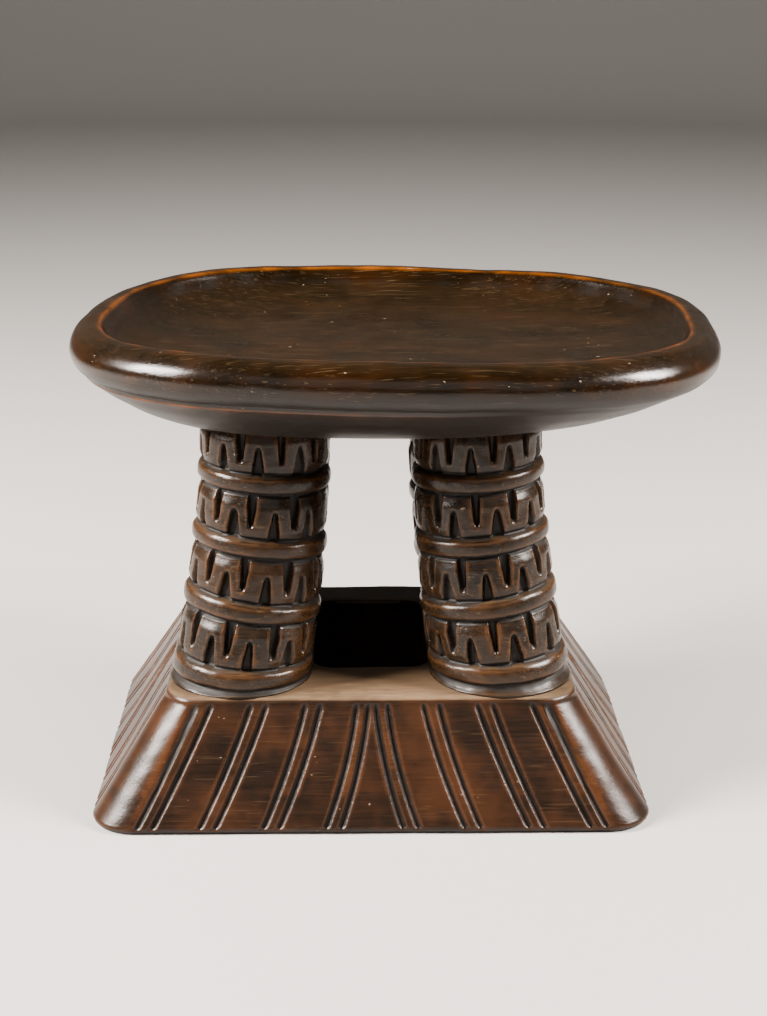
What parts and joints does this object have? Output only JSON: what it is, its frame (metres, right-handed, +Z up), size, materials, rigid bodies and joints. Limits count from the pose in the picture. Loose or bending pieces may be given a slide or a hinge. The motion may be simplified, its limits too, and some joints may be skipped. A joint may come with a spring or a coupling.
{
  "type": "headrest",
  "caption": "Hand-carved wooden headrest: a dished rounded oval top with a belly below, on splayed ringed columns with zigzag carving, over a hollow flared foot with fanned grooves.",
  "frame": {"origin": "on the ground, under the middle of the top's bounding box", "axes": "+Z up, +X along the long side of the top towards the viewer's right, front towards -Y"},
  "size_m": [0.2226, 0.1928, 0.1655],
  "materials": {
    "carved_foot": "dark oiled hardwood, worn warm brown on the edges",
    "carved_columns": "dark oiled hardwood, chip carved, satin from handling",
    "worn_top": "dark hardwood with a greyish worn dish and amber worn rim"
  },
  "bodies": {
    "root": {"foot": "carved_foot", "front_left_column": "carved_columns", "front_right_column": "carved_columns", "rear_left_column": "carved_columns", "rear_right_column": "carved_columns", "top": "worn_top"}
  },
  "joints": []
}
